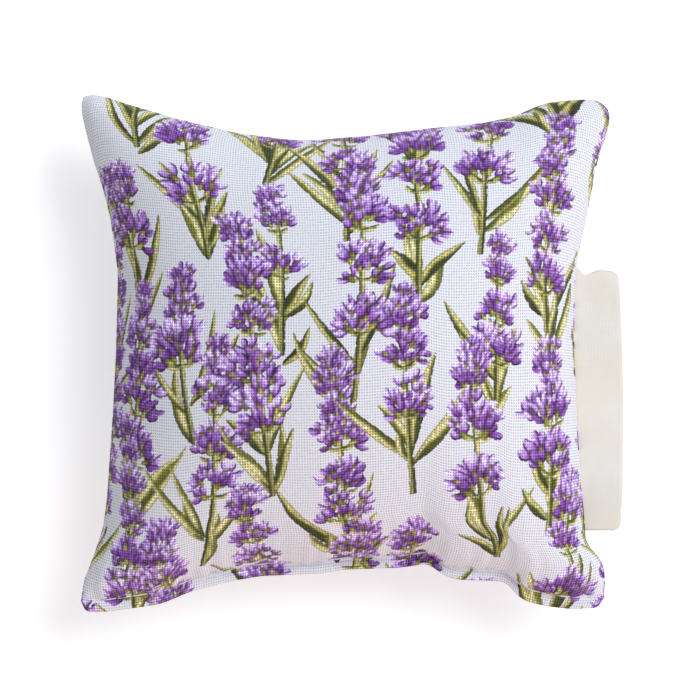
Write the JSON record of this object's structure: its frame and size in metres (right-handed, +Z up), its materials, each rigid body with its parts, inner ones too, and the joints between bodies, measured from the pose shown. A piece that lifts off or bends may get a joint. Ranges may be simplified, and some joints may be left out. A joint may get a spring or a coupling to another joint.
{
  "type": "lavender sachet",
  "caption": "Small square scented sachet of printed cotton, filled with dried lavender, closed by a topstitched edge, with a folded ribbon label in one side seam.",
  "frame": {"origin": "middle of the flat patch of the back panel that the sachet rests on", "axes": "+X to the right-hand seam with the label, +Y to the top edge away from the closing stitches, +Z up through the front panel"},
  "size_m": [0.103, 0.0976, 0.0374],
  "materials": {
    "printed_cotton": "matte plain-weave cotton, white with a lavender-sprig print",
    "dried_lavender": "matte dried flower buds",
    "white_thread": "matte sewing thread",
    "satin_ribbon": "ivory satin, soft sheen"
  },
  "bodies": {
    "cushion": {"front_panel": "printed_cotton", "back_panel": "printed_cotton", "lavender_fill": "dried_lavender", "seam_needle_thread": "white_thread", "seam_bobbin_thread": "white_thread", "closing_needle_thread": "white_thread", "closing_bobbin_thread": "white_thread", "label_front_tail": "satin_ribbon", "label_back_tail": "satin_ribbon"},
    "label": {"label_flap": "satin_ribbon"}
  },
  "joints": [
    {"name": "label_flex", "type": "hinge", "parent": "cushion", "child": "label", "pos_m": [0.04645, -0.009, 0.0162], "axis": [0, -1, 0], "range_deg": [-90, 90], "stiffness_Nm_per_rad": 0.0001}
  ]
}
